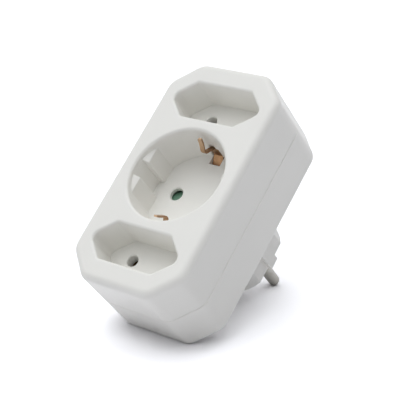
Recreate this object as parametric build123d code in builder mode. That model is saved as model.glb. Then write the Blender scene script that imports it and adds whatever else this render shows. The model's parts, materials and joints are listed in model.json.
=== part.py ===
from build123d import *

import os
from math import atan2, cos, hypot, radians, sin, sqrt, tan

# Three-way plug-in socket adapter.
# X is to the right seen from the sockets, Y points from the sockets to the plug pins, Z is up.
# The origin is on the plug axis, at the end face of the plug neck where the pins leave it.

# Housing
body_width = 52.8
body_height = 99.5
body_depth = 38.5
corner_cut = 10.7
corner_round = 6.6
front_round = 2.8
back_round = 1.25
wall = 2.0
seam_depth = 19.8
seam_chamfer = 0.3
lip_height = 1.3
lip_thickness = 0.8
lip_clearance = 0.3

# Plug neck and pins
plug_length = 22.5
plug_r = 18.5
plug_flat = 16.0
plug_rib_reach = 18.0
plug_rib_half = 2.6
plug_edge_round = 0.9
plug_face_wall = 3.0
plug_flange_r = 19.3
plug_flange_thickness = 1.2
plug_fit_gap = 0.3
cavity_r = 16.3
cavity_half_width = 14.0
cavity_half_height = 13.5
pin_spacing = 19.0
pin_r = 2.4
pin_length = 19.0
pin_tip_round = 2.0
pin_seat_r = 3.0
pin_shank_r = 2.0
pin_collar_r = 3.6
pin_collar_length = 1.6
tenon_r = 1.5
rivet_head_r = 2.3
rivet_head_height = 1.0
clamp_gap = 1.0
clamp_height = 8.4
clamp_thickness = 2.5
clamp_round = 2.0
clamp_chamfer = 0.4
clamp_boss_r = 2.6
clamp_pilot_depth = 3.6
clamp_screw_length = 5.7
turning_clearance = 0.05

# Round earthed outlet
socket_r = 20.0
socket_depth = 18.0
socket_rim_round = 1.2
rim_land_share = 0.8
socket_hole_r = 2.75
guide_depth = 2.9
guide_gap_half = 3.3
guide_top = 3.6
guide_bevel = 1.8
guide_bite = 0.3
guide_edge_round = 0.6
clip_window_half = 2.7
clip_window_top = 12.3
clip_neck_half = 1.4
clip_neck_top = 10.4
clip_pocket_depth = 1.3
clip_pocket_wall = 1.2
clip_slot_inset = 4.1

# Six-sided two-pin outlets
flat_land = 4.6
flat_half_edge = 12.7
flat_half_tip = 21.2
flat_half_height = 8.0
flat_tip_round = 3.1
flat_corner_round = 1.5
flat_depth = 14.9
flat_rim_round = 1.0
flat_hole_r = 2.4
sleeve_r = 3.6
sleeve_length = 2.4

# Recess walls and the plates that close them
well_wall = 1.8
ledge = 0.9
plate_thickness = 2.0
plate_clearance = 0.3
skirt = 1.2
hole_countersink = 0.35

# Shutter, turning about the plug axis behind the round outlet
post_r = 2.5
shutter_gap = 0.3
shutter_thickness = 1.6
shutter_half_width = 3.3
shutter_ramp = 1.2
hub_r = 4.2
hub_length = 3.0
hub_end_gap = 0.25
shutter_open_angle = 40.0
stop_gap = 0.05
stop_length = 2.4
stop_width = 1.7
stop_reach = 6.4
peg_r = 0.9
peg_length = 1.0
peg_x = 8.6
peg_z = 2.0
spring_leaf = 0.25
spring_width = 0.9
spring_bend = 0.6
spring_anchor_z = 11.4
spring_rib_length = 3.6
spring_rib_width = 1.0

# Earth parts
strip = 0.7
bridge_half_width = 2.3
tongue_half_width = 1.0
strip_bend = 0.4
earth_post_r = 3.0
bridge_half_length = 12.2
bridge_corner = 0.8
clip_shoulder = 1.1
clip_tip_round = 0.9
clip_base_start = 8.4
clip_base_end = 13.4
clip_back_gap = 0.35
clip_ramp = 3.9
clip_riser_top = 12.7
rivet_z = 10.4
rivet_r = 1.0
rivet_cap_r = 1.7
rivet_cap_height = 0.5
side_contact_z = 17.1
side_contact_end = 1.6
side_contact_half = 3.0
side_channel_half = 3.2
side_channel_z = 16.6
side_window_inner = 16.2
side_window_outer = 17.8
side_tuck = 0.5
side_tuck_length = 1.6
side_tuck_gap = 0.3

# Contact bars
leaf_half_width = 2.6
leaf_inner_half = 2.6
leaf_nip_half = 2.15
leaf_mouth_half = 2.75
leaf_straight = 3.9
leaf_lead = 2.6
bar_overhang = 4.0
bar_step = 3.7
bar_step_start = 9.3
bar_step_end = 6.2
leaf_top_gap = 2.6

# Screws, bosses and posts
screw_x = 20.0
screw_z = 19.5
boss_r = 3.1
boss_length = 24.0
pilot_depth = 11.0
screw_r = 1.25
screw_length = 9.5
screw_head_r = 2.6
screw_head_height = 1.8
screw_recess = 2.6
screw_recess_width = 0.6
tube_r = 4.2
tube_bore_r = 2.9
tube_floor = 1.8
screw_hole_r = 1.6
post_support_r = 1.5
post_support_reach = 1.0
post_support_angle = 38.0
flat_post_r = 2.0
flat_side_post_r = 1.4
flat_side_post_x = 15.8
locator_z = 24.0
locator_length = 4.0
locator_width = 0.9
locator_height = 2.5
locator_gap = 0.2

# Levels along the plug axis
front_y = -(plug_length + body_depth)
back_y = -plug_length
seam_y = front_y + seam_depth
rear_wall_y = back_y - wall
floor_y = front_y + socket_depth
floor_back_y = floor_y + plate_thickness
flat_floor_y = front_y + flat_depth
flat_floor_back_y = flat_floor_y + plate_thickness
shutter_y = floor_back_y + shutter_gap
shutter_back_y = shutter_y + shutter_thickness
bridge_y = shutter_y + hub_length + hub_end_gap
boss_end_y = front_y + wall + boss_length
bar_y = rear_wall_y - strip / 2
bar_low_y = bar_y + bar_step
pin_x = pin_spacing / 2
guide_chord = socket_r - guide_depth
rim_land = body_width / 2 - front_round - socket_r
clip_pocket_z = socket_r + clip_pocket_depth
clip_riser_z = clip_pocket_z - clip_back_gap - strip / 2
clip_slot_start = socket_r - clip_slot_inset
flat_socket_z = socket_r + flat_land + flat_half_height
post_support_x = (socket_r + post_support_reach) * cos(radians(post_support_angle))
post_support_z = (socket_r + post_support_reach) * sin(radians(post_support_angle))
bar_end = flat_socket_z + bar_overhang
clamp_width = 2 * (cavity_half_width - clamp_gap)


def across(y):
    """A plane across the plug axis at height y, with X to the right and Z up."""
    return Plane(origin=(0, y, 0), x_dir=(1, 0, 0), z_dir=(0, -1, 0))


def octagon(inset):
    """Corners of the housing outline, moved inwards by inset."""
    w = body_width / 2 - inset
    h = body_height / 2 - inset
    c = corner_cut - inset * (2 - sqrt(2))
    right = [(w, c - h), (w, h - c), (w - c, h)]
    left = [(c - w, h), (-w, h - c), (-w, c - h)]
    return right + left + [(c - w, -h), (w - c, -h)]


def hexagon(grow, side):
    """Corners of the upper or lower flat recess, moved outwards by grow."""
    slope = atan2(flat_half_height, flat_half_tip - flat_half_edge)
    tip = flat_half_tip + grow / sin(slope)
    edge = flat_half_edge + grow * tan(slope / 2)
    h = flat_half_height + grow
    corners = [(tip, 0), (edge, h), (-edge, h), (-tip, 0), (-edge, -h), (edge, -h)]
    return [(x, side * flat_socket_z + z) for x, z in corners]


def hexagon_radii(grow):
    """Corner radii that keep the grown outline parallel to the recess."""
    tip = flat_tip_round + grow
    corner = flat_corner_round + grow
    return [tip, corner, corner, tip, corner, corner]


def ribbon(path, thickness, bend):
    """Outline and corner radii of a bent strip whose middle line is the given path."""
    left = []
    right = []
    inner = []
    outer = []
    last = len(path) - 1
    for i, (u, v) in enumerate(path):
        u0, v0 = path[max(i - 1, 0)]
        u1, v1 = path[min(i + 1, last)]
        a = (u - u0, v - v0) if i > 0 else (u1 - u, v1 - v)
        b = (u1 - u, v1 - v) if i < last else a
        la = hypot(*a)
        lb = hypot(*b)
        na = (-a[1] / la, a[0] / la)
        nb = (-b[1] / lb, b[0] / lb)
        k = thickness / 2 / (1 + na[0] * nb[0] + na[1] * nb[1])
        m = (k * (na[0] + nb[0]), k * (na[1] + nb[1]))
        turn = a[0] * b[1] - a[1] * b[0]
        left.append((u + m[0], v + m[1]))
        right.append((u - m[0], v - m[1]))
        ends = i in (0, last)
        inner.append(0 if ends else bend + (0 if turn > 0 else thickness))
        outer.append(0 if ends else bend + (thickness if turn > 0 else 0))
    return left + right[::-1], inner + outer[::-1]


# Guide blocks of the round outlet, two on each side with a gap between them
with BuildPart() as guide_blocks:
    with BuildSketch(across(floor_y)):
        Circle(socket_r + guide_bite)
        Rectangle(2 * guide_chord, 4 * socket_r, mode=Mode.SUBTRACT)
        Rectangle(4 * socket_r, 2 * guide_gap_half, mode=Mode.SUBTRACT)
    extrude(amount=socket_depth - guide_top + guide_bevel)
    with BuildSketch(Plane.XY):
        for side in (1, -1):
            with BuildLine():
                Polyline(
                    (side * guide_chord, front_y + guide_top),
                    (side * (socket_r + guide_bite), front_y + guide_top - guide_bevel),
                    (side * (socket_r + guide_bite), front_y),
                    (side * (guide_chord - 1), front_y),
                    (side * (guide_chord - 1), front_y + guide_top),
                    close=True,
                )
            make_face()
    extrude(amount=socket_r, both=True, mode=Mode.SUBTRACT)
    free_edges = guide_blocks.edges().filter_by(lambda e: e.center().Y < floor_y - 0.01)
    free_edges = free_edges.filter_by(lambda e: min(hypot(v.X, v.Z) for v in e.vertices()) < socket_r)
    fillet(free_edges, guide_edge_round)

# Front cover: face, side walls to the seam, recess walls with plate rebates, a pocket for each earth clip
with BuildPart() as front_cover:
    with BuildSketch(across(front_y)):
        with BuildLine():
            FilletPolyline(*octagon(0), radius=corner_round, close=True)
        make_face()
    extrude(amount=-seam_depth)
    fillet(front_cover.edges().filter_by_position(Axis.Y, front_y, front_y), front_round)
    chamfer(front_cover.edges().filter_by_position(Axis.Y, seam_y, seam_y), seam_chamfer)
    with BuildSketch(across(front_y + wall)):
        with BuildLine():
            FilletPolyline(*octagon(wall), radius=corner_round - wall, close=True)
        make_face()
    extrude(amount=-seam_depth, mode=Mode.SUBTRACT)
    with BuildSketch(across(seam_y - lip_height - lip_clearance)):
        with BuildLine():
            rebate = wall - lip_thickness - lip_clearance
            FilletPolyline(*octagon(rebate), radius=corner_round - rebate, close=True)
        make_face()
    extrude(amount=-seam_depth, mode=Mode.SUBTRACT)
    with BuildSketch(across(front_y + wall / 2)):
        Circle(socket_r + well_wall)
    extrude(amount=-(socket_depth + skirt - wall / 2))
    with BuildSketch(across(front_y + wall / 2)):
        with Locations((0, clip_pocket_z - well_wall / 2), (0, well_wall / 2 - clip_pocket_z)):
            Rectangle(2 * (clip_window_half + clip_pocket_wall), 2 * clip_pocket_wall + well_wall)
    extrude(amount=-(socket_depth + skirt - wall / 2))
    with BuildSketch(across(front_y + wall / 2)):
        for side in (1, -1):
            with BuildLine():
                FilletPolyline(*hexagon(well_wall, side), radius=hexagon_radii(well_wall), close=True)
            make_face()
    extrude(amount=-(flat_depth + skirt - wall / 2))
    with BuildSketch(across(front_y)):
        Circle(socket_r)
    extrude(amount=-(socket_depth + skirt), mode=Mode.SUBTRACT)
    with BuildSketch(across(floor_y)):
        Circle(socket_r + ledge)
    extrude(amount=-skirt, mode=Mode.SUBTRACT)
    with BuildSketch(across(front_y)):
        for side in (1, -1):
            with BuildLine():
                FilletPolyline(*hexagon(0, side), radius=hexagon_radii(0), close=True)
            make_face()
    extrude(amount=-(flat_depth + skirt), mode=Mode.SUBTRACT)
    with BuildSketch(across(flat_floor_y)):
        for side in (1, -1):
            with BuildLine():
                FilletPolyline(*hexagon(ledge, side), radius=hexagon_radii(ledge), close=True)
            make_face()
    extrude(amount=-skirt, mode=Mode.SUBTRACT)
    rims = front_cover.edges().filter_by_position(Axis.Y, front_y, front_y)
    round_rim = rims.filter_by(lambda e: abs(e.center().Z) < 1 and e.length > 6 * socket_r)
    fillet(round_rim, min(socket_rim_round, rim_land_share * rim_land))
    rims = front_cover.edges().filter_by_position(Axis.Y, front_y, front_y)
    flat_rims = rims.filter_by(lambda e: abs(abs(e.center().Z) - flat_socket_z) < flat_half_height + 0.1)
    flat_rims = flat_rims.filter_by(lambda e: abs(e.center().X) < flat_half_tip)
    fillet(flat_rims, flat_rim_round)
    add(guide_blocks.part)
    for top, half in ((clip_window_top, clip_window_half), (clip_neck_top, clip_neck_half)):
        with BuildSketch(across(front_y + top)):
            for side in (1, -1):
                with Locations((0, side * (clip_pocket_z - well_wall))):
                    Rectangle(2 * half, 2 * well_wall)
        extrude(amount=-socket_depth, mode=Mode.SUBTRACT)
    with BuildSketch(across(front_y + wall / 2)):
        with Locations(*[(sx * screw_x, sz * screw_z) for sx in (1, -1) for sz in (1, -1)]):
            Circle(boss_r)
    extrude(amount=-(boss_length + wall / 2))
    with BuildSketch(across(boss_end_y)):
        with Locations(*[(sx * screw_x, sz * screw_z) for sx in (1, -1) for sz in (1, -1)]):
            Circle(screw_r + turning_clearance)
    extrude(amount=pilot_depth, mode=Mode.SUBTRACT)
front_cover.part.label = "front_cover"

# Centre plate: floor of the round outlet with pin holes, clip slots, pivot post, stops and spring seat
with BuildPart() as socket_plate_centre:
    with BuildSketch(across(floor_y)):
        Circle(socket_r + ledge - plate_clearance)
    extrude(amount=-plate_thickness)
    with BuildSketch(across(floor_back_y)):
        Circle(post_r)
    extrude(amount=-(bridge_y - floor_back_y))
    with BuildSketch(across(bridge_y)):
        Circle(tenon_r + turning_clearance)
    extrude(amount=2.2, mode=Mode.SUBTRACT)
    turned = radians(shutter_open_angle)
    along = (cos(turned), sin(turned))
    beside = (-sin(turned), cos(turned))
    reach = shutter_half_width + stop_gap + stop_width / 2
    with BuildSketch(across(floor_back_y)):
        for side in (1, -1):
            with Locations((side * stop_reach, -side * reach)):
                Rectangle(stop_length, stop_width)
            open_x = side * (along[0] * stop_reach + beside[0] * reach)
            open_z = side * (along[1] * stop_reach + beside[1] * reach)
            with Locations(Location((open_x, open_z), shutter_open_angle)):
                Rectangle(stop_length, stop_width)
    extrude(amount=-(shutter_gap + shutter_thickness))
    seat = spring_leaf / 2 + turning_clearance + spring_rib_width / 2
    with BuildSketch(across(floor_back_y)):
        for side in (1, -1):
            with Locations((0, spring_anchor_z + side * seat)):
                Rectangle(spring_rib_length, spring_rib_width)
    extrude(amount=-(shutter_gap + shutter_thickness + peg_length))
    with BuildSketch(across(floor_y)):
        for side in (1, -1):
            with Locations((side * pin_x, 0)):
                Circle(socket_hole_r)
            with Locations((0, side * (clip_slot_start + socket_r / 2))):
                Rectangle(2 * (clip_window_half - 0.1), socket_r)
    extrude(amount=-plate_thickness, mode=Mode.SUBTRACT)
    hole_edges = socket_plate_centre.edges().filter_by_position(Axis.Y, floor_y, floor_y)
    hole_edges = hole_edges.filter_by(GeomType.CIRCLE)
    hole_edges = hole_edges.filter_by(lambda e: abs(e.radius - socket_hole_r) < 0.01)
    chamfer(hole_edges, hole_countersink)
socket_plate_centre.part.label = "socket_plate_centre"


def flat_plate(side):
    """Floor of one flat outlet, with a sleeve behind each of its two countersunk pin holes."""
    grow = ledge - plate_clearance
    with BuildPart() as plate:
        with BuildSketch(across(flat_floor_y)):
            with BuildLine():
                FilletPolyline(*hexagon(grow, side), radius=hexagon_radii(grow), close=True)
            make_face()
            with Locations((pin_x, side * flat_socket_z), (-pin_x, side * flat_socket_z)):
                Circle(flat_hole_r, mode=Mode.SUBTRACT)
        extrude(amount=-plate_thickness)
        with BuildSketch(across(flat_floor_back_y)):
            with Locations((pin_x, side * flat_socket_z), (-pin_x, side * flat_socket_z)):
                Circle(sleeve_r)
                Circle(flat_hole_r, mode=Mode.SUBTRACT)
        extrude(amount=-sleeve_length)
        rim = plate.edges().filter_by_position(Axis.Y, flat_floor_y, flat_floor_y)
        rim = rim.filter_by(GeomType.CIRCLE)
        rim = rim.filter_by(lambda e: abs(e.radius - flat_hole_r) < 0.01)
        chamfer(rim, hole_countersink)
    return plate.part


socket_plate_upper = flat_plate(1)
socket_plate_upper.label = "socket_plate_upper"
socket_plate_lower = flat_plate(-1)
socket_plate_lower.label = "socket_plate_lower"

# Shutter: a bar over both pin holes with a hub on the pivot post, a ramp on each wing and a spring peg
with BuildPart() as shutter:
    with BuildSketch(across(shutter_y)):
        SlotCenterToCenter(pin_spacing, 2 * shutter_half_width)
    extrude(amount=-shutter_thickness)
    with BuildSketch(across(shutter_y)):
        Circle(hub_r)
    extrude(amount=-hub_length)
    with BuildSketch(across(shutter_back_y)):
        with Locations((peg_x, peg_z)):
            Circle(peg_r)
    extrude(amount=-peg_length)
    for side in (1, -1):
        with BuildSketch(Plane.YZ.offset(side * hub_r)):
            with BuildLine():
                Polyline(
                    (shutter_y, side * shutter_half_width),
                    (shutter_y + shutter_ramp, -side * shutter_half_width),
                    (shutter_y, -side * shutter_half_width),
                    close=True,
                )
            make_face()
        extrude(amount=side * plug_r, mode=Mode.SUBTRACT)
    with BuildSketch(across(shutter_y)):
        Circle(post_r + turning_clearance)
    extrude(amount=-hub_length, mode=Mode.SUBTRACT)
shutter.part.label = "shutter"

# Shutter spring: a bent leaf from its slot to the peg
spring_y = shutter_back_y + (peg_length - spring_width) / 2
peg_side = peg_z + peg_r + spring_leaf / 2
spring_path = [
    (-1.6, spring_anchor_z),
    (3.4, spring_anchor_z),
    (9.0, 10.2),
    (11.2, 6.4),
    (10.0, peg_side + 0.35),
    (6.8, peg_side + 0.02),
]
spring_points, spring_radii = ribbon(spring_path, spring_leaf, spring_bend)
with BuildPart() as shutter_spring:
    with BuildSketch(across(spring_y)):
        with BuildLine():
            FilletPolyline(*spring_points, radius=spring_radii, close=True)
        make_face()
    extrude(amount=-spring_width)
shutter_spring.part.label = "shutter_spring"

# Earth bridge: flat strip behind the shutter that carries both clips
with BuildPart() as earth_bridge:
    with BuildSketch(across(bridge_y)) as bridge_outline:
        Rectangle(2 * bridge_half_width, 2 * bridge_half_length)
        chamfer(bridge_outline.vertices(), bridge_corner)
        Circle(tenon_r + turning_clearance, mode=Mode.SUBTRACT)
        with Locations((0, rivet_z), (0, -rivet_z)):
            Circle(rivet_r + turning_clearance, mode=Mode.SUBTRACT)
    extrude(amount=-strip)
earth_bridge.part.label = "earth_bridge"

# Earth clips: riveted to the bridge, rising through the floor slots to a narrow sprung nose.
# The two noses are staggered along the recess, so a plug meets one clip after the other.
clip_y = bridge_y + 1.5 * strip
clip_rise = [
    (clip_y, clip_base_start),
    (clip_y, clip_base_end),
    (floor_back_y + 0.3, clip_riser_z - clip_ramp),
    (floor_y - 0.4, clip_riser_z),
    (front_y + clip_riser_top, clip_riser_z),
]
upper_nose = [(13.6, 0.0), (12.4, 0.1), (9.1, 4.85), (7.9, 4.95), (4.6, 3.45), (2.3, 2.9)]
lower_nose = [(13.6, 0.0), (12.2, 0.3), (8.2, 5.65), (6.9, 5.7), (3.4, 3.5), (2.0, 2.8)]


def earth_clip(side, nose):
    """One earth clip: wide base and riser, narrow tongue bent to a nose with a lead-in tip."""
    base_points, base_radii = ribbon([(y, side * z) for y, z in clip_rise], strip, strip_bend)
    nose_line = [(front_y + depth, side * (clip_riser_z - drop)) for depth, drop in nose]
    nose_points, nose_radii = ribbon(nose_line, strip, strip_bend)
    with BuildPart() as clip:
        with BuildSketch(Plane.YZ):
            with BuildLine():
                FilletPolyline(*base_points, radius=base_radii, close=True)
            make_face()
        extrude(amount=bridge_half_width, both=True)
        chamfer(clip.edges().filter_by(Axis.Z).sort_by(Axis.Y)[:2], clip_shoulder)
        with BuildSketch(Plane.YZ):
            with BuildLine():
                FilletPolyline(*nose_points, radius=nose_radii, close=True)
            make_face()
        extrude(amount=tongue_half_width, both=True)
        tip_edges = clip.edges().filter_by(lambda e: abs(e.length - strip) < 0.02)
        fillet(tip_edges.sort_by(Axis.Y)[:2], clip_tip_round)
        with BuildSketch(across(clip_y - strip / 2)):
            with Locations((0, side * rivet_z)):
                Circle(rivet_r + turning_clearance)
        extrude(amount=-strip, mode=Mode.SUBTRACT)
    return clip.part


earth_clip_upper = earth_clip(1, upper_nose)
earth_clip_upper.label = "earth_clip_upper"
earth_clip_lower = earth_clip(-1, lower_nose)
earth_clip_lower.label = "earth_clip_lower"

# Clip rivets: one through the bridge and each clip base
with BuildPart() as clip_rivets:
    for side in (1, -1):
        with BuildSketch(across(bridge_y)):
            with Locations((0, side * rivet_z)):
                Circle(rivet_cap_r)
        extrude(amount=rivet_cap_height)
        with BuildSketch(across(bridge_y)):
            with Locations((0, side * rivet_z)):
                Circle(rivet_r)
        extrude(amount=-2 * strip)
        with BuildSketch(across(bridge_y + 2 * strip)):
            with Locations((0, side * rivet_z)):
                Circle(rivet_cap_r)
        extrude(amount=-rivet_cap_height)
clip_rivets.part.label = "clip_rivets"

# Earth post: a spacer between the bridge and the plug earth strip, riveted at the plug end
post_front_y = bridge_y + strip
post_back_y = rear_wall_y - strip
with BuildPart() as earth_post:
    with BuildSketch(Plane.XY):
        with BuildLine():
            Polyline(
                (0, bridge_y - 2.0),
                (tenon_r, bridge_y - 2.0),
                (tenon_r, post_front_y),
                (earth_post_r, post_front_y),
                (earth_post_r, post_back_y),
                (tenon_r, post_back_y),
                (tenon_r, rear_wall_y),
                (rivet_head_r, rear_wall_y),
                (rivet_head_r * 0.8, rear_wall_y + rivet_head_height),
                (0, rear_wall_y + rivet_head_height),
                close=True,
            )
        make_face()
    revolve(axis=Axis.Y)
earth_post.part.label = "earth_post"

# Plug earth strip: a cross bar inside with one leg along each side of the plug neck
side_path = [
    (-side_contact_end, side_contact_z - side_tuck),
    (-side_contact_end - side_tuck_length, side_contact_z),
    (bar_y, side_contact_z),
    (bar_y, -side_contact_z),
    (-side_contact_end - side_tuck_length, -side_contact_z),
    (-side_contact_end, side_tuck - side_contact_z),
]
side_points, side_radii = ribbon(side_path, strip, strip_bend)
with BuildPart() as plug_earth_strip:
    with BuildSketch(Plane.YZ):
        with BuildLine():
            FilletPolyline(*side_points, radius=side_radii, close=True)
        make_face()
    extrude(amount=side_contact_half, both=True)
    with BuildSketch(across(post_back_y)):
        Circle(tenon_r + turning_clearance)
    extrude(amount=-strip, mode=Mode.SUBTRACT)
plug_earth_strip.part.label = "plug_earth_strip"


def contact_bar(side):
    """Folded strip on the rear wall, stepped down at the plug pin, with a pair of leaves at each outlet."""
    bar_path = [
        (bar_y, bar_end),
        (bar_y, bar_step_start),
        (bar_low_y, bar_step_end),
        (bar_low_y, -bar_step_end),
        (bar_y, -bar_step_start),
        (bar_y, -bar_end),
    ]
    bar_points, bar_radii = ribbon(bar_path, strip, strip_bend)
    half = leaf_inner_half + strip
    with BuildPart() as bar:
        with BuildSketch(Plane.YZ.offset(side * pin_x)):
            with BuildLine():
                FilletPolyline(*bar_points, radius=bar_radii, close=True)
            make_face()
        extrude(amount=half, both=True)
        levels = ((0, bar_low_y, bridge_y), (1, bar_y, flat_floor_back_y), (-1, bar_y, flat_floor_back_y))
        for row, base_y, above_y in levels:
            top_y = above_y + (0 if row == 0 else leaf_top_gap)
            leaf = [
                (leaf_mouth_half + strip / 2, top_y),
                (leaf_nip_half + strip / 2, top_y + leaf_lead),
                (leaf_inner_half + strip / 2, top_y + leaf_lead + leaf_straight),
                (leaf_inner_half + strip / 2, base_y),
            ]
            channel = [(side * pin_x + x, y) for x, y in leaf]
            channel += [(side * pin_x - x, y) for x, y in reversed(leaf)]
            points, radii = ribbon(channel, strip, strip_bend)
            with BuildSketch(Plane.XY.offset(row * flat_socket_z)):
                with BuildLine():
                    FilletPolyline(*points, radius=radii, close=True)
                make_face()
            extrude(amount=leaf_half_width, both=True)
        with BuildSketch(across(bar_low_y - strip / 2)):
            with Locations((side * pin_x, 0)):
                Circle(tenon_r + turning_clearance)
        extrude(amount=-strip, mode=Mode.SUBTRACT)
    return bar.part


contact_bar_right = contact_bar(1)
contact_bar_right.label = "contact_bar_right"
contact_bar_left = contact_bar(-1)
contact_bar_left.label = "contact_bar_left"


def plug_pin(side):
    """Turned pin: domed tip, seat in the plug face, collar behind it, tenon riveted over the contact bar."""
    shoulder_y = bar_low_y + strip / 2
    rivet_y = bar_low_y - strip / 2
    with BuildPart() as pin:
        with BuildSketch(Plane.XY):
            with BuildLine():
                Polyline(
                    (side * pin_x, pin_length),
                    (side * pin_x + pin_r, pin_length),
                    (side * pin_x + pin_r, 0),
                    (side * pin_x + pin_seat_r, 0),
                    (side * pin_x + pin_seat_r, -plug_face_wall),
                    (side * pin_x + pin_collar_r, -plug_face_wall),
                    (side * pin_x + pin_collar_r, -plug_face_wall - pin_collar_length),
                    (side * pin_x + pin_shank_r, -plug_face_wall - pin_collar_length),
                    (side * pin_x + pin_shank_r, shoulder_y),
                    (side * pin_x + tenon_r, shoulder_y),
                    (side * pin_x + tenon_r, rivet_y),
                    (side * pin_x + rivet_head_r, rivet_y),
                    (side * pin_x + rivet_head_r * 0.8, rivet_y - rivet_head_height),
                    (side * pin_x, rivet_y - rivet_head_height),
                    close=True,
                )
            make_face()
        revolve(axis=Axis((side * pin_x, 0, 0), (0, 1, 0)))
        fillet(pin.edges().filter_by_position(Axis.Y, pin_length, pin_length), pin_tip_round)
    return pin.part


plug_pin_right = plug_pin(1)
plug_pin_right.label = "plug_pin_right"
plug_pin_left = plug_pin(-1)
plug_pin_left.label = "plug_pin_left"

# Pin clamp: plate that holds the pin collars against the inside of the plug face
collar_y = -plug_face_wall - pin_collar_length
clamp_y = collar_y - clamp_thickness
with BuildPart() as pin_clamp:
    with BuildSketch(across(clamp_y)):
        RectangleRounded(clamp_width, clamp_height, clamp_round)
        with Locations((pin_x, 0), (-pin_x, 0)):
            Circle(pin_shank_r + turning_clearance, mode=Mode.SUBTRACT)
        Circle(screw_hole_r, mode=Mode.SUBTRACT)
    extrude(amount=-clamp_thickness)
    chamfer(pin_clamp.faces().sort_by(Axis.Y)[0].outer_wire().edges(), clamp_chamfer)
pin_clamp.part.label = "pin_clamp"

# Clamp screw: from the clamp into the boss of the plug face
with BuildPart() as clamp_screw:
    with BuildSketch(across(clamp_y)):
        Circle(screw_head_r)
    extrude(amount=screw_head_height)
    fillet(clamp_screw.edges().filter_by_position(Axis.Y, clamp_y - screw_head_height, clamp_y - 0.5), 0.7)
    with BuildSketch(across(clamp_y)):
        Circle(screw_r)
    extrude(amount=-clamp_screw_length)
    with BuildSketch(across(clamp_y - screw_head_height)):
        Rectangle(screw_recess, screw_recess_width)
        Rectangle(screw_recess_width, screw_recess)
    extrude(amount=-1.1, mode=Mode.SUBTRACT)
clamp_screw.part.label = "clamp_screw"

# Plug body: neck with side flats and ribs, a flange inside the rear cover, channels for the earth strip
with BuildPart() as plug_body:
    with BuildSketch(across(rear_wall_y)):
        Circle(plug_flange_r)
    extrude(amount=-plug_flange_thickness)
    with BuildSketch(across(rear_wall_y)):
        Circle(plug_r)
    extrude(amount=-wall)
    with BuildSketch(across(back_y)):
        Circle(plug_r)
        for side in (1, -1):
            with Locations((side * (plug_flat + plug_r), 0)):
                Rectangle(2 * plug_r, 2 * plug_r, mode=Mode.SUBTRACT)
        Rectangle(2 * plug_rib_reach, 2 * plug_rib_half)
    extrude(amount=-plug_length)
    fillet(plug_body.edges().filter_by_position(Axis.Y, 0, 0), plug_edge_round)
    with BuildSketch(across(rear_wall_y)):
        Circle(cavity_r)
        Rectangle(2 * cavity_half_width, 2 * cavity_half_height, mode=Mode.INTERSECT)
    extrude(amount=-(plug_length + wall - plug_face_wall), mode=Mode.SUBTRACT)
    with BuildSketch(across(-plug_face_wall)):
        Circle(clamp_boss_r)
    extrude(amount=pin_collar_length)
    with BuildSketch(across(collar_y)):
        Circle(screw_r + turning_clearance)
    extrude(amount=-clamp_pilot_depth, mode=Mode.SUBTRACT)
    with BuildSketch(across(0)):
        with Locations((pin_x, 0), (-pin_x, 0)):
            Circle(pin_seat_r + turning_clearance)
    extrude(amount=plug_face_wall, mode=Mode.SUBTRACT)
    with BuildSketch(across(back_y)):
        for side in (1, -1):
            with Locations((0, side * (side_channel_z + plug_r / 2))):
                Rectangle(2 * side_channel_half, plug_r)
    extrude(amount=-plug_length, mode=Mode.SUBTRACT)
    with BuildSketch(across(side_tuck_gap - side_contact_end)):
        for side in (1, -1):
            with Locations((0, side * side_channel_z)):
                Rectangle(2 * side_channel_half, 2 * (side_tuck + side_tuck_gap))
    extrude(amount=side_tuck_length + 2 * side_tuck_gap, mode=Mode.SUBTRACT)
    with BuildSketch(across(rear_wall_y)):
        for side in (1, -1):
            with Locations((0, side * (side_window_inner + side_window_outer) / 2)):
                Rectangle(2 * side_channel_half, side_window_outer - side_window_inner)
    extrude(amount=-wall, mode=Mode.SUBTRACT)
plug_body.part.label = "plug_body"

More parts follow.
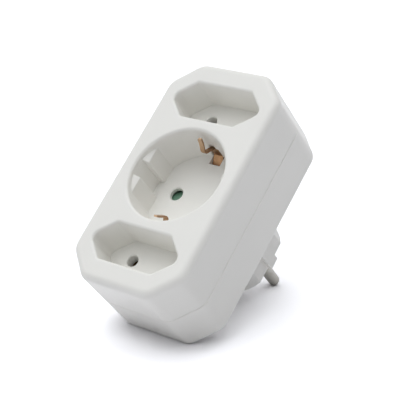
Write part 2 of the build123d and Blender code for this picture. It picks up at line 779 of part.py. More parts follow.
# Rear cover: other half of the shell with the opening for the plug body, screw tubes and supporting posts
screw_places = [(sx * screw_x, sz * screw_z) for sx in (1, -1) for sz in (1, -1)]
with BuildPart() as rear_cover:
    with BuildSketch(across(seam_y)):
        with BuildLine():
            FilletPolyline(*octagon(0), radius=corner_round, close=True)
        make_face()
    extrude(amount=-(back_y - seam_y))
    fillet(rear_cover.edges().filter_by_position(Axis.Y, back_y, back_y), back_round)
    chamfer(rear_cover.edges().filter_by_position(Axis.Y, seam_y, seam_y), seam_chamfer)
    with BuildSketch(across(seam_y)):
        with BuildLine():
            FilletPolyline(*octagon(wall), radius=corner_round - wall, close=True)
        make_face()
    extrude(amount=-(rear_wall_y - seam_y), mode=Mode.SUBTRACT)
    with BuildSketch(across(seam_y - lip_height)):
        with BuildLine():
            lip_inset = wall - lip_thickness
            FilletPolyline(*octagon(lip_inset), radius=corner_round - lip_inset, close=True)
        make_face()
        with BuildLine():
            FilletPolyline(*octagon(wall), radius=corner_round - wall, close=True)
        make_face(mode=Mode.SUBTRACT)
    extrude(amount=-(lip_height + wall))
    with BuildSketch(across(rear_wall_y)):
        Circle(plug_r + plug_fit_gap)
    extrude(amount=-wall, mode=Mode.SUBTRACT)
    with BuildSketch(across(rear_wall_y)):
        Circle(plug_flange_r + plug_fit_gap)
    extrude(amount=-plug_flange_thickness, mode=Mode.SUBTRACT)
    with BuildSketch(across(rear_wall_y)):
        with Locations(*screw_places):
            Circle(tube_r)
    extrude(amount=rear_wall_y - boss_end_y)
    with BuildSketch(across(back_y)):
        with Locations(*screw_places):
            Circle(tube_bore_r)
    extrude(amount=back_y - boss_end_y - tube_floor, mode=Mode.SUBTRACT)
    with BuildSketch(across(back_y)):
        with Locations(*screw_places):
            Circle(screw_hole_r)
    extrude(amount=back_y - boss_end_y, mode=Mode.SUBTRACT)
    with BuildSketch(across(rear_wall_y)):
        with Locations(*[(sx * post_support_x, sz * post_support_z) for sx in (1, -1) for sz in (1, -1)]):
            Circle(post_support_r)
    extrude(amount=rear_wall_y - floor_back_y)
    with BuildSketch(across(rear_wall_y)):
        for side in (1, -1):
            with Locations((0, side * flat_socket_z)):
                Circle(flat_post_r)
                with Locations((flat_side_post_x, 0), (-flat_side_post_x, 0)):
                    Circle(flat_side_post_r)
    extrude(amount=rear_wall_y - flat_floor_back_y)
    beside_bar = leaf_inner_half + strip + locator_gap + locator_width / 2
    with BuildSketch(across(rear_wall_y)):
        for sx in (1, -1):
            for sz in (1, -1):
                with Locations((sx * pin_x, sz * locator_z)):
                    with Locations((beside_bar, 0), (-beside_bar, 0)):
                        Rectangle(locator_width, locator_length)
    extrude(amount=locator_height)
rear_cover.part.label = "rear_cover"

# Housing screws: pan heads with a cross recess
head_y = boss_end_y + tube_floor
with BuildPart() as housing_screws:
    for sx, sz in screw_places:
        with BuildSketch(across(head_y)):
            with Locations((sx, sz)):
                Circle(screw_r)
        extrude(amount=screw_length)
        with BuildSketch(across(head_y)):
            with Locations((sx, sz)):
                Circle(screw_head_r)
        extrude(amount=-screw_head_height)
    top_y = head_y + screw_head_height
    fillet(housing_screws.edges().filter_by_position(Axis.Y, top_y, top_y), 0.7)
    with BuildSketch(across(head_y + screw_head_height)):
        with Locations(*screw_places):
            Rectangle(screw_recess, screw_recess_width)
            Rectangle(screw_recess_width, screw_recess)
    extrude(amount=1.1, mode=Mode.SUBTRACT)
housing_screws.part.label = "housing_screws"

os.makedirs("parts", exist_ok=True)
export_step(front_cover.part, "parts/front_cover.step")
export_step(rear_cover.part, "parts/rear_cover.step")
export_step(plug_body.part, "parts/plug_body.step")
export_step(socket_plate_centre.part, "parts/socket_plate_centre.step")
export_step(socket_plate_upper, "parts/socket_plate_upper.step")
export_step(socket_plate_lower, "parts/socket_plate_lower.step")
export_step(shutter.part, "parts/shutter.step")
export_step(shutter_spring.part, "parts/shutter_spring.step")
export_step(earth_bridge.part, "parts/earth_bridge.step")
export_step(earth_clip_upper, "parts/earth_clip_upper.step")
export_step(earth_clip_lower, "parts/earth_clip_lower.step")
export_step(clip_rivets.part, "parts/clip_rivets.step")
export_step(earth_post.part, "parts/earth_post.step")
export_step(plug_earth_strip.part, "parts/plug_earth_strip.step")
export_step(contact_bar_right, "parts/contact_bar_right.step")
export_step(contact_bar_left, "parts/contact_bar_left.step")
export_step(plug_pin_right, "parts/plug_pin_right.step")
export_step(plug_pin_left, "parts/plug_pin_left.step")
export_step(pin_clamp.part, "parts/pin_clamp.step")
export_step(clamp_screw.part, "parts/clamp_screw.step")
export_step(housing_screws.part, "parts/housing_screws.step")
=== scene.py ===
# %% [markdown]
# # A three-way plug-in socket adapter
# The adapter is a white moulded housing with a round earthed outlet between two flat ones.
# Its solids come from the CAD model. This script loads them as a fixed frame and gives them their
# finish, the fine parts that CAD leaves plain, a floor, soft light and the photograph's camera.

# %% Load the frame
import json
from math import radians

import bpy
from mathutils import Matrix, Vector


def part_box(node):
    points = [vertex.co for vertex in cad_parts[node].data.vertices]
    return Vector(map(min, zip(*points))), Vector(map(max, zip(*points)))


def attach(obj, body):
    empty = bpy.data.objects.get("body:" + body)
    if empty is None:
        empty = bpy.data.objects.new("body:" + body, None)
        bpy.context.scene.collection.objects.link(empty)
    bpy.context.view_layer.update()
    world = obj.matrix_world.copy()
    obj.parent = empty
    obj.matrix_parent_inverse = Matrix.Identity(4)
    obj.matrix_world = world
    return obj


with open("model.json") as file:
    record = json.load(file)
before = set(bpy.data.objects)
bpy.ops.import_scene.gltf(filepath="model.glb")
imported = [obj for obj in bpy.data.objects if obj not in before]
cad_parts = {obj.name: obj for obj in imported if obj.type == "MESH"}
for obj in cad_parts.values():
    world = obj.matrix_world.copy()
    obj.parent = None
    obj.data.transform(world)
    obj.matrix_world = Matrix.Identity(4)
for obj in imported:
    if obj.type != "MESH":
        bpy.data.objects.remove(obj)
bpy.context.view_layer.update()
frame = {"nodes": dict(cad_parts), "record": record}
nodes = frame["nodes"]
MM = 0.001

# %% [markdown]
# ## Camera
# The adapter lies on its lower back edge and on the tips of its own pins, so in the CAD frame the
# table is a tilted plane. The camera could be turned by hand until the outline fits. Here its place
# and its axes were solved from the rims and corners of the housing, and they are written down as
# plain vectors.

# %% Camera
scene = bpy.context.scene
scene.view_settings.view_transform = "Standard"
camera_place = Vector((0.27691, -0.39217, -0.15440))
camera_right = Vector((0.78553, 0.41481, 0.45921))
camera_up = Vector((-0.20470, -0.52612, 0.82541))
camera_lens = 110.7
sensor_width = 36.0
near_limit = 0.01
far_limit = 20.0

camera_back = camera_right.cross(camera_up).normalized()
camera_up = camera_back.cross(camera_right).normalized()
axes = Matrix((camera_right, camera_up, camera_back)).transposed()
camera_data = bpy.data.cameras.new("photo_camera")
camera_data.lens = camera_lens
camera_data.sensor_width = sensor_width
camera_data.clip_start = near_limit
camera_data.clip_end = far_limit
camera = bpy.data.objects.new("photo_camera", camera_data)
camera.matrix_world = Matrix.Translation(camera_place) @ axes.normalized().to_4x4()
scene.collection.objects.link(camera)
scene.camera = camera
print("camera", [round(v, 3) for v in camera.location])

# %% [markdown]
# ## Table
# The table touches the rounded lower back edge of the housing and the domed tips of the pins. A sheet
# could be turned by eye until it seems to touch. Both are arcs seen from the side, so here the
# table is the line that touches two circles, and the adapter neither floats nor sinks.

# %% Table plane
right = Vector((1, 0, 0))
back_edge_round = 1.25 * MM
pin_tip_round = 2.0 * MM
pin_r = 2.4 * MM
pin_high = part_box("plug_pin_right")[1]
rear_low, rear_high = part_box("rear_cover")
edge_centre = Vector((0, rear_high.y - back_edge_round, rear_low.z + back_edge_round))
tip_centre = Vector((0, pin_high.y - pin_tip_round, pin_tip_round - pin_r))
along = tip_centre - edge_centre
across = Vector((0, -along.z, along.y)).normalized()
rise = (pin_tip_round - back_edge_round) / along.length
table_up = (across * (1 - rise * rise) ** 0.5 + along.normalized() * rise).normalized()
ahead = table_up.cross(right).normalized()
contact = edge_centre - table_up * back_edge_round
print("table up", [round(v, 3) for v in table_up])

# %% Table sheet
table_half_size = 6.0


def table_sheet(half_size):
    """A flat sheet in the table plane, facing up, with its place in its mesh."""
    side = right * half_size
    depth = ahead * half_size
    near_edge = contact - depth
    far_edge = contact + depth
    corners = [near_edge - side, near_edge + side, far_edge + side, far_edge - side]
    mesh = bpy.data.meshes.new("table_top")
    mesh.from_pydata([tuple(corner) for corner in corners], [], [(0, 1, 2, 3)])
    mesh.update()
    sheet = bpy.data.objects.new("table_top", mesh)
    scene.collection.objects.link(sheet)
    if mesh.polygons[0].normal.dot(table_up) < 0:
        mesh.flip_normals()
    return sheet


table = table_sheet(table_half_size)
print("table of", 2 * table_half_size, "m")

# %% [markdown]
# ## Building node trees
# Every finish below is a small graph of nodes. The nodes could be added and linked one line at a time.
# A few helpers keep the graphs readable instead: one adds a node and sets or links its inputs, one gives
# the result of a Math node, one mixes two colours, and one opens a material with its Principled shader.

# %% Node helpers


def add(tree, kind, settings=None, **inputs):
    """Adds a node with its settings. Inputs go by name (underscores for spaces) or by number (n0, n1)."""
    node = tree.nodes.new(kind)
    for key, value in (settings or {}).items():
        setattr(node, key, value)
    for key, value in inputs.items():
        by_number = key[0] == "n" and key[1:].isdigit()
        socket = node.inputs[int(key[1:])] if by_number else node.inputs[key.replace("_", " ")]
        if isinstance(value, bpy.types.NodeSocket):
            tree.links.new(value, socket)
        else:
            socket.default_value = value
    return node


def worked_out(tree, operation, first, second=0.0):
    """The result of one Math node."""
    return add(tree, "ShaderNodeMath", {"operation": operation}, n0=first, n1=second).outputs[0]


def mix_colours(tree, factor, first, second, way="MIX"):
    """Two colours mixed; the colour sockets of a Mix node have these numbers."""
    settings = {"data_type": "RGBA", "blend_type": way}
    return add(tree, "ShaderNodeMix", settings, n0=factor, n6=first, n7=second).outputs[2]


def new_finish(name):
    """A new material whose graph holds only its Principled shader and its output."""
    material = bpy.data.materials.new(name)
    material.use_nodes = True
    tree = material.node_tree
    tree.nodes.clear()
    shader = add(tree, "ShaderNodeBsdfPrincipled")
    add(tree, "ShaderNodeOutputMaterial", Surface=shader.outputs[0])
    return material, tree, shader


print("node helpers:", ", ".join(helper.__name__ for helper in (add, worked_out, mix_colours, new_finish)))

# %% [markdown]
# ## Shader groups
# Two effects below serve several finishes each. Copying their nodes into every material would work, but a
# later change would then have to be made many times. A group holds them once, with named inputs.

# %% Group helpers
noise_low = 0.3
noise_high = 0.7


def new_group(name, inputs, outputs):
    """An empty shader group with named sockets, and its input and output nodes."""
    group = bpy.data.node_groups.new(name, "ShaderNodeTree")
    for label, kind, value in inputs:
        group.interface.new_socket(label, in_out="INPUT", socket_type=kind).default_value = value
    for label, kind in outputs:
        group.interface.new_socket(label, in_out="OUTPUT", socket_type=kind)
    return group, group.nodes.new("NodeGroupInput"), group.nodes.new("NodeGroupOutput")


def spread_about(tree, noise, middle, spread):
    """Turns a noise value into the middle value plus or minus the spread."""
    low = worked_out(tree, "SUBTRACT", middle, spread)
    high = worked_out(tree, "ADD", middle, spread)
    return add(tree, "ShaderNodeMapRange", Value=noise, From_Min=noise_low, From_Max=noise_high,
               To_Min=low, To_Max=high).outputs[0]


surface_outputs = [
    ("Colour", "NodeSocketColor"),
    ("Roughness", "NodeSocketFloat"),
    ("Height", "NodeSocketFloat"),
]
print("each group gives", ", ".join(label for label, kind in surface_outputs))

# %% [markdown]
# ## A moulded skin for every plastic
# Moulded plastic is never one flat tone. The melt flows in faint clouds, the polish of the mould wears
# unevenly, and the surface carries a very fine grain. Each of these could be painted on; a noise of the
# right size needs no painting and has no seams. White housing, green shutter and grey clamp share the
# group. It reads Object coordinates, which are metres here.

# %% Moulded skin group
cloud_scale = 42.0
polish_scale = 380.0
flow_detail = 3.0
grain_detail = 2.0
polish_share = 0.8

moulded_skin, given, result = new_group(
    "moulded_skin",
    [
        ("Colour", "NodeSocketColor", (0.8, 0.8, 0.8, 1)),
        ("Shade spread", "NodeSocketFloat", 0.015),
        ("Roughness", "NodeSocketFloat", 0.4),
        ("Roughness spread", "NodeSocketFloat", 0.05),
        ("Grain scale", "NodeSocketFloat", 2600.0),
    ],
    surface_outputs,
)
given = given.outputs
place = add(moulded_skin, "ShaderNodeTexCoord").outputs["Object"]
cloud = add(moulded_skin, "ShaderNodeTexNoise", Vector=place, Scale=cloud_scale, Detail=flow_detail)
polish = add(moulded_skin, "ShaderNodeTexNoise", Vector=place, Scale=polish_scale, Detail=flow_detail)
grain = add(moulded_skin, "ShaderNodeTexNoise", Vector=place, Scale=given["Grain scale"],
            Detail=grain_detail)
shade = spread_about(moulded_skin, cloud.outputs[0], 1.0, given["Shade spread"])
tone = add(moulded_skin, "ShaderNodeHueSaturation", Value=shade, Color=given["Colour"]).outputs[0]
gloss = spread_about(moulded_skin, polish.outputs[0], given["Roughness"], given["Roughness spread"])
ripple = add(moulded_skin, "ShaderNodeMath", {"operation": "MULTIPLY_ADD"},
             n0=polish.outputs[0], n1=polish_share, n2=grain.outputs[0]).outputs[0]
for label, source in (("Colour", tone), ("Roughness", gloss), ("Height", ripple)):
    moulded_skin.links.new(source, result.inputs[label])
print("group", moulded_skin.name, "with", len(moulded_skin.nodes), "nodes")

# %% [markdown]
# ## A worked surface for every metal
# Strip and turned pins keep the lines of the rolls or the tool that made them, and they tarnish in
# patches. The lines could be drawn one by one. Here they are a noise that is stretched along the working
# direction, so one group serves rolled strip, turned pins and plated screws. Only the stretch, the
# colours, the gloss and the amount of tarnish differ.

# %% Worked metal group
line_detail = 3.0
patch_scale = 320.0
patch_detail = 4.0
patch_roughness = 0.6
stain_start = 0.4
stain_full = 0.72

worked_metal, given, result = new_group(
    "worked_metal",
    [
        ("Colour", "NodeSocketColor", (0.7, 0.7, 0.7, 1)),
        ("Tarnish", "NodeSocketColor", (0.3, 0.3, 0.3, 1)),
        ("Tarnish amount", "NodeSocketFloat", 0.4),
        ("Roughness", "NodeSocketFloat", 0.35),
        ("Roughness spread", "NodeSocketFloat", 0.08),
        ("Line density", "NodeSocketVector", (4000.0, 150.0, 150.0)),
    ],
    surface_outputs,
)
given = given.outputs
place = add(worked_metal, "ShaderNodeTexCoord").outputs["Object"]
stretched = add(worked_metal, "ShaderNodeVectorMath", {"operation": "MULTIPLY"},
                n0=place, n1=given["Line density"]).outputs[0]
lines = add(worked_metal, "ShaderNodeTexNoise", Vector=stretched, Scale=1.0, Detail=line_detail).outputs[0]
patches = add(worked_metal, "ShaderNodeTexNoise", Vector=place, Scale=patch_scale, Detail=patch_detail,
              Roughness=patch_roughness).outputs[0]
stain = add(worked_metal, "ShaderNodeMapRange", Value=patches, From_Min=stain_start, From_Max=stain_full,
            To_Min=0.0, To_Max=given["Tarnish amount"]).outputs[0]
tone = mix_colours(worked_metal, stain, given["Colour"], given["Tarnish"])
gloss = spread_about(worked_metal, lines, given["Roughness"], given["Roughness spread"])
for label, source in (("Colour", tone), ("Roughness", gloss), ("Height", lines)):
    worked_metal.links.new(source, result.inputs[label])
print("group", worked_metal.name, "with", len(worked_metal.nodes), "nodes")

# %% [markdown]
# ## Plastic finishes
# The housing and the outlet floors are a white plastic with a satin gloss; the shutter is a matt green and
# the pin clamp a matt grey. The grain could be modelled, but it is far finer than any face of the mesh. So
# each finish is the moulded skin with its own colour, gloss and grain, and a Bump node turns the grain
# into a slight unevenness in the reflections.

# %% Plastic finishes
finishes = {}
fine_grain = 2600.0
coarse_grain = 1800.0
fine_bump = 0.015 * MM
coarse_bump = 0.030 * MM


def connect_surface(tree, shader, surface, bump_depth, bump_strength=1.0):
    """Feeds a group's colour, roughness and height to the shader."""
    bump = add(tree, "ShaderNodeBump", Strength=bump_strength, Distance=bump_depth,
               Height=surface.outputs["Height"])
    tree.links.new(surface.outputs["Colour"], shader.inputs["Base Color"])
    tree.links.new(surface.outputs["Roughness"], shader.inputs["Roughness"])
    tree.links.new(bump.outputs[0], shader.inputs["Normal"])


def plastic_finish(slot, colour, roughness, roughness_spread, shade_spread, grain_scale, bump_depth):
    """A moulded plastic for one slot of the record."""
    finishes[slot], tree, shader = new_finish(slot)
    skin = add(tree, "ShaderNodeGroup", {"node_tree": moulded_skin}, Colour=(*colour, 1),
               Roughness=roughness, Roughness_spread=roughness_spread, Shade_spread=shade_spread,
               Grain_scale=grain_scale)
    connect_surface(tree, shader, skin, bump_depth)


plastic_finish("housing_white", (0.934, 0.922, 0.882), roughness=0.38, roughness_spread=0.05,
               shade_spread=0.010, grain_scale=fine_grain, bump_depth=fine_bump)
plastic_finish("socket_white", (0.934, 0.925, 0.888), roughness=0.42, roughness_spread=0.05,
               shade_spread=0.012, grain_scale=fine_grain, bump_depth=fine_bump)
plastic_finish("shutter_green", (0.175, 0.345, 0.235), roughness=0.50, roughness_spread=0.06,
               shade_spread=0.050, grain_scale=coarse_grain, bump_depth=coarse_bump)
plastic_finish("clamp_grey", (0.380, 0.380, 0.390), roughness=0.55, roughness_spread=0.06,
               shade_spread=0.040, grain_scale=coarse_grain, bump_depth=coarse_bump)
plastics = list(finishes)
print("plastics:", ", ".join(plastics))

# %% [markdown]
# ## Metal finishes
# The earth clips are bent from bronze strip, the contact bars are stamped brass, the pins are turned and
# plated and the screws are zinc plated. Each could have a graph of its own. They differ only in colour,
# tarnish, gloss and the direction of their lines, so each is the worked metal with other values.

# %% Metal finishes
metal_gloss_spread = 0.08
metal_bump = 0.01 * MM
metal_bump_strength = 0.5
lines_along_y = (5200.0, 120.0, 5200.0)
lines_along_z = (5200.0, 5200.0, 120.0)
turned_about_y = (160.0, 6500.0, 160.0)


def metal_finish(slot, colour, tarnish, tarnish_amount, roughness, line_density):
    """A worked metal for one slot of the record."""
    finishes[slot], tree, shader = new_finish(slot)
    work = add(tree, "ShaderNodeGroup", {"node_tree": worked_metal}, Colour=(*colour, 1),
               Tarnish=(*tarnish, 1), Tarnish_amount=tarnish_amount, Roughness=roughness,
               Roughness_spread=metal_gloss_spread, Line_density=line_density)
    shader.inputs["Metallic"].default_value = 1.0
    connect_surface(tree, shader, work, metal_bump, metal_bump_strength)
    return tree, shader, work


metal_finish("contact_brass", (0.80, 0.61, 0.31), tarnish=(0.42, 0.27, 0.12), tarnish_amount=0.55,
             roughness=0.34, line_density=lines_along_z)
metal_finish("pin_plating", (0.36, 0.35, 0.32), tarnish=(0.24, 0.23, 0.205), tarnish_amount=0.50,
             roughness=0.36, line_density=turned_about_y)
metal_finish("screw_steel", (0.62, 0.62, 0.63), tarnish=(0.36, 0.36, 0.38), tarnish_amount=0.40,
             roughness=0.36, line_density=turned_about_y)
metal_finish("spring_steel", (0.56, 0.56, 0.57), tarnish=(0.26, 0.27, 0.31), tarnish_amount=0.50,
             roughness=0.30, line_density=lines_along_y)
tree, shader, work = metal_finish(
    "clip_bronze", (0.45, 0.265, 0.145), tarnish=(0.22, 0.115, 0.055), tarnish_amount=0.60,
    roughness=0.38, line_density=lines_along_y)
print("metals:", ", ".join(slot for slot in finishes if slot not in plastics))

# %% [markdown]
# ## Painted shade on the clip edges, wear and painted highlight on the noses
# The clips are cut from sheet. Their narrow cut edges, the faces that look sideways, are painted darker as
# shade. Their noses are painted brighter, partly for the wear of plugs that rub them and partly as a
# painted highlight. Both could be painted as masks. The cut edges are the faces that look sideways, which
# the object's own normal tells, and the noses are the end nearest to the face of the housing, which the
# object's own Y tells.

# %% Clip edges and noses
edge_shade_tone = (0.34, 0.20, 0.115, 1)
edge_shade_start = 0.5
edge_shade_full = 0.85
edge_shade_amount = 0.85
rubbed_and_highlit_tone = (0.74, 0.53, 0.36, 1)
rubbed_and_highlit_amount = 0.75
rubbed_and_highlit_end = 8 * MM
rubbed_and_highlit_full = 2 * MM
clip_low, clip_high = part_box("earth_clip_upper")

own = add(tree, "ShaderNodeTexCoord").outputs
facing = add(tree, "ShaderNodeSeparateXYZ", Vector=own["Normal"]).outputs
# Painted shade: the faces of the strip that look sideways are darkened towards the edge tone.
sideways = worked_out(tree, "ABSOLUTE", facing["X"])
edge_shade = add(tree, "ShaderNodeMapRange", Value=sideways, From_Min=edge_shade_start,
               From_Max=edge_shade_full, To_Max=edge_shade_amount).outputs[0]
clip_place = add(tree, "ShaderNodeSeparateXYZ", Vector=own["Object"]).outputs
# Painted highlight and wear: the tone lightens towards the noses.
rubbed_and_highlit = add(tree, "ShaderNodeMapRange", Value=clip_place["Y"], From_Min=clip_low.y + rubbed_and_highlit_end,
             From_Max=clip_low.y + rubbed_and_highlit_full, To_Max=rubbed_and_highlit_amount).outputs[0]
face_tone = mix_colours(tree, rubbed_and_highlit, work.outputs["Colour"], rubbed_and_highlit_tone)
clip_tone = mix_colours(tree, edge_shade, face_tone, edge_shade_tone)
tree.links.new(clip_tone, shader.inputs["Base Color"])
print("noses rubbed over", round(rubbed_and_highlit_end / MM, 1), "of", round((clip_high.y - clip_low.y) / MM, 1), "mm")

# %% [markdown]
# ## Dressing the solids
# Every solid of the frame names its slot in the record. A finish could be given to each by hand; reading
# the record gives the right one to all of them. The solids keep their shape and place, and only the
# material in their slot changes, so the finish moves with the shutter when it turns.

# %% Dress the solids
slot_of = {row["node"]: row["material_slot"] for row in frame["record"]["subparts"]}
for name, node in nodes.items():
    for material_slot in node.material_slots:
        material_slot.material = finishes[slot_of[name]]
print("dressed", len(nodes), "solids in", len(finishes), "finishes")

# %% [markdown]
# ## Screw threads
# The five screws have plain shanks in the frame. A thread is a small ridge wound on a helix. It could be
# made by a Screw modifier on each shank, but it repeats on every screw, so one Geometry Nodes tree makes
# it: a spiral gives the path, a triangle is swept along it, and the result is set in rows and columns. Its
# sizes are named inputs, so the same tree serves the short clamp screw.

# %% Thread inputs
thread = bpy.data.node_groups.new("screw_thread", "GeometryNodeTree")
thread.interface.new_socket("Geometry", in_out="OUTPUT", socket_type="NodeSocketGeometry")
thread_sizes = {
    "Core radius": 1.2 * MM,
    "Ridge": 0.32 * MM,
    "Pitch": 1.0 * MM,
    "Length": 8.0 * MM,
    "Column spacing": 40.0 * MM,
    "Row spacing": 39.0 * MM,
}
thread_counts = {"Columns": 2, "Rows": 2}
for label, value in thread_sizes.items():
    thread.interface.new_socket(label, in_out="INPUT", socket_type="NodeSocketFloat").default_value = value
for label, value in thread_counts.items():
    thread.interface.new_socket(label, in_out="INPUT", socket_type="NodeSocketInt").default_value = value
thread.interface.new_socket("Finish", in_out="INPUT", socket_type="NodeSocketMaterial")
given = thread.nodes.new("NodeGroupInput").outputs
result = thread.nodes.new("NodeGroupOutput")
print("thread inputs:", ", ".join([*thread_sizes, *thread_counts, "Finish"]))

# %% [markdown]
# ## The ridge of a thread
# On a real screw the ridge rises out of the shank and runs out again at the other end. A bare sweep would
# stop in two blunt faces, and cutting them away would take a second shape. Here the size of the triangle
# follows a factor that runs along the path, so both ends taper by themselves.

# %% Thread ridge
points_in_turn = 28
ridge_corners = 3
run_share = 0.12
run_size = 0.05

turns = worked_out(thread, "DIVIDE", given["Length"], given["Pitch"])
path = add(thread, "GeometryNodeCurveSpiral", Resolution=points_in_turn, Rotations=turns,
           Start_Radius=given["Core radius"], End_Radius=given["Core radius"], Height=given["Length"],
           Reverse=True)
profile = add(thread, "GeometryNodeCurvePrimitiveCircle", Resolution=ridge_corners, Radius=given["Ridge"])
factor = add(thread, "GeometryNodeSplineParameter").outputs["Factor"]
run_in = add(thread, "ShaderNodeMapRange", Value=factor, From_Min=0.0, From_Max=run_share,
             To_Min=run_size, To_Max=1.0)
run_out = add(thread, "ShaderNodeMapRange", Value=factor, From_Min=1.0 - run_share, From_Max=1.0,
              To_Min=1.0, To_Max=run_size)
taper = worked_out(thread, "MINIMUM", run_in.outputs[0], run_out.outputs[0])
path = add(thread, "GeometryNodeSetCurveNormal", {"mode": "Z_UP"}, Curve=path.outputs[0])
path = add(thread, "GeometryNodeSetCurveRadius", Curve=path.outputs[0], Radius=taper)
ridge = add(thread, "GeometryNodeCurveToMesh", Curve=path.outputs[0], Profile_Curve=profile.outputs[0],
            Fill_Caps=True)
ridge = add(thread, "GeometryNodeTransform", Geometry=ridge.outputs[0], Rotation=(radians(90), 0, 0))
print("thread ridge of", ridge_corners, "corners,", points_in_turn, "points in a turn")

# %% [markdown]
# ## Rows and columns of threads
# The four housing screws are alike and stand in a rectangle. Their threads could be copied and moved by
# hand. A line of points with a copy on each point does the same with a count and a spacing, once along X
# for the columns and once along Z for the rows.

# %% Rows and columns of threads


def repeated(tree, geometry, count, spacing, axis):
    """Sets copies of a geometry in a line along X or Z, centred on the origin."""
    gaps = worked_out(tree, "SUBTRACT", count, 1.0)
    half = worked_out(tree, "MULTIPLY", gaps, -0.5)
    first = worked_out(tree, "MULTIPLY", half, spacing)
    start = add(tree, "ShaderNodeCombineXYZ", **{axis: first}).outputs[0]
    step = add(tree, "ShaderNodeCombineXYZ", **{axis: spacing}).outputs[0]
    line = add(tree, "GeometryNodeMeshLine", Count=count, Start_Location=start, Offset=step)
    return add(tree, "GeometryNodeInstanceOnPoints", Points=line.outputs[0], Instance=geometry).outputs[0]


columns = repeated(thread, ridge.outputs[0], given["Columns"], given["Column spacing"], "X")
rows = repeated(thread, columns, given["Rows"], given["Row spacing"], "Z")
solid = add(thread, "GeometryNodeRealizeInstances", Geometry=rows)
finished = add(thread, "GeometryNodeSetMaterial", Geometry=solid.outputs[0], Material=given["Finish"])
thread.links.new(finished.outputs[0], result.inputs[0])
print("thread tree with", len(thread.nodes), "nodes")

# %% [markdown]
# ## Threads on the screws
# Two columns and two rows of the tree make the threads of all four housing screws in one piece. The clamp
# screw is shorter and alone. The modifier could stay live on its object. It is turned into a plain mesh
# here, because a mesh can carry its own place, and then it is moved to its screw.

# %% Threads on the screws


def threaded(name, place, values):
    """A thread piece made by the tree, with its place in its mesh."""
    maker = bpy.data.objects.new(name + "_maker", bpy.data.meshes.new(name + "_maker"))
    scene.collection.objects.link(maker)
    modifier = maker.modifiers.new("thread", "NODES")
    modifier.node_group = thread
    for item in thread.interface.items_tree:
        if item.in_out == "INPUT" and item.name in values:
            modifier[item.identifier] = values[item.name]
    shown = maker.evaluated_get(bpy.context.evaluated_depsgraph_get())
    mesh = bpy.data.meshes.new_from_object(shown)
    bpy.data.objects.remove(maker)
    mesh.name = name
    mesh.transform(Matrix.Translation(place))
    piece = bpy.data.objects.new(name, mesh)
    scene.collection.objects.link(piece)
    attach(piece, "housing")
    print(name, "has", len(mesh.polygons), "faces")


screws_low, screws_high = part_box("housing_screws")
clamp_low, clamp_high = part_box("clamp_screw")
head_height = 1.8 * MM
plain_shank = 1.6 * MM
tip_margin = 0.3 * MM
head_width = 5.2 * MM
housing_start = screws_high.y - head_height - plain_shank
clamp_start = clamp_low.y + head_height + tip_margin
threaded("housing_screw_threads", Vector((0, housing_start, 0)), {
    "Length": housing_start - screws_low.y - tip_margin,
    "Column spacing": screws_high.x - screws_low.x - head_width,
    "Row spacing": screws_high.z - screws_low.z - head_width,
    "Finish": finishes["screw_steel"],
})
threaded("clamp_screw_thread", Vector((0, clamp_high.y - tip_margin, 0)), {
    "Length": clamp_high.y - tip_margin - clamp_start,
    "Columns": 1,
    "Rows": 1,
    "Finish": finishes["screw_steel"],
})

# %% [markdown]
# ## White ground with a painted shadow
# The adapter stands on bright white paper that is exposed to pure white, with a soft, faintly blue shadow
# close to the contact. Lamps alone would leave the paper grey, or make the adapter too bright. So the
# paper's colour is raised for rays from the camera and from reflections, most where it is open and least
# where the adapter stands over it. This paints a darker, tighter shadow around the contact on top of the
# cast one, and a faint tint cools it. Seen from below it lets the view through, so the back of the adapter
# can be looked at.

# %% Table finish
shade_reach = 10 * MM
shade_samples = 8
covered_at = 0.22
open_at = 0.85
covered_level = 1.05
open_level = 1.60
bounce_level = 0.9
paper_tint = (0.977, 0.972, 1.0, 1)


def seen_rays(tree):
    """1 for rays from the camera and for rays seen in gloss or glass, else 0."""
    ray = add(tree, "ShaderNodeLightPath").outputs
    seen = worked_out(tree, "MAXIMUM", ray["Is Camera Ray"], ray["Is Glossy Ray"])
    return worked_out(tree, "MAXIMUM", seen, ray["Is Transmission Ray"])


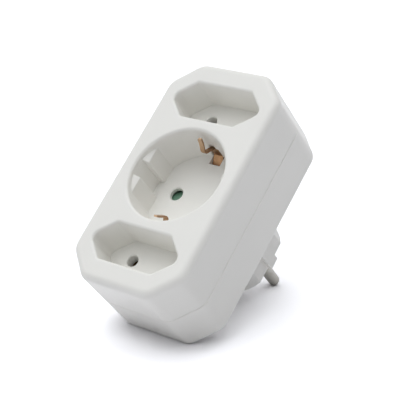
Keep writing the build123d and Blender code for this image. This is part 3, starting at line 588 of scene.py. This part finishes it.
table_white, tree, shader = new_finish("table_white")
shader.inputs["Roughness"].default_value = 1.0
shader.inputs["Specular IOR Level"].default_value = 0.0
# Painted shadow: paper seen by the camera or in gloss is left darker where ambient occlusion finds it
# covered.
openness = add(tree, "ShaderNodeAmbientOcclusion", {"samples": shade_samples}, Distance=shade_reach)
painted_shadow_exposure = add(tree, "ShaderNodeMapRange", Value=openness.outputs["AO"], From_Min=covered_at,
              From_Max=open_at, To_Min=covered_level, To_Max=open_level)
paper = add(tree, "ShaderNodeMix", n0=seen_rays(tree), n2=bounce_level, n3=painted_shadow_exposure.outputs[0])
tinted = mix_colours(tree, 1.0, paper.outputs[0], paper_tint, "MULTIPLY")
tree.links.new(tinted, shader.inputs["Base Color"])
clear = add(tree, "ShaderNodeBsdfTransparent")
back = add(tree, "ShaderNodeNewGeometry").outputs["Backfacing"]
below = add(tree, "ShaderNodeMixShader", n0=back, n1=shader.outputs[0], n2=clear.outputs[0])
tree.links.new(below.outputs[0], tree.nodes["Material Output"].inputs["Surface"])
table.data.materials.append(table_white)
print("table finish with", len(tree.nodes), "nodes")

# %% [markdown]
# ## Soft light from above
# The photograph shows no hard shadow at all: the face is brightest, the sides that look down are darker and
# the recesses are softly lit. That is the light of a wide soft ceiling. It could be built from area lamps.
# Here the sky itself is graded, brightest straight over the table, with broad weaker glows above the front
# and the left. It needs no lamps, and it has no edges that the gloss could show.

# %% Sky
sky_colour = (0.968, 0.985, 1.0, 1)
seen_colour = (1, 1, 1, 1)
seen_level = 1.0
overhead_level = 2.14
front_level = 0.54
left_level = 0.66
overhead_falloff = 4.0
side_falloff = 8.0
front_aim = (table_up - ahead).normalized()
left_aim = (table_up - right).normalized()


def glow(tree, aim, falloff, level):
    """Light that is strongest in the direction of its aim and fades with the angle from it."""
    looking = add(tree, "ShaderNodeTexCoord").outputs["Generated"]
    toward = add(tree, "ShaderNodeVectorMath", {"operation": "DOT_PRODUCT"}, n0=looking, n1=tuple(aim))
    toward = worked_out(tree, "MAXIMUM", toward.outputs["Value"], 0.0)
    faded = worked_out(tree, "POWER", toward, falloff)
    return worked_out(tree, "MULTIPLY", faded, level)


world = bpy.data.worlds.new("studio_white")
world.use_nodes = True
scene.world = world
tree = world.node_tree
tree.nodes.clear()
light = glow(tree, table_up, overhead_falloff, overhead_level)
for aim, level in ((front_aim, front_level), (left_aim, left_level)):
    light = worked_out(tree, "ADD", light, glow(tree, aim, side_falloff, level))
seen = seen_rays(tree)
tone = mix_colours(tree, seen, sky_colour, seen_colour)
strength = add(tree, "ShaderNodeMix", n0=seen, n2=light, n3=seen_level).outputs[0]
sky = add(tree, "ShaderNodeBackground", Color=tone, Strength=strength)
add(tree, "ShaderNodeOutputWorld", Surface=sky.outputs[0])
print("sky levels", overhead_level, front_level, left_level)
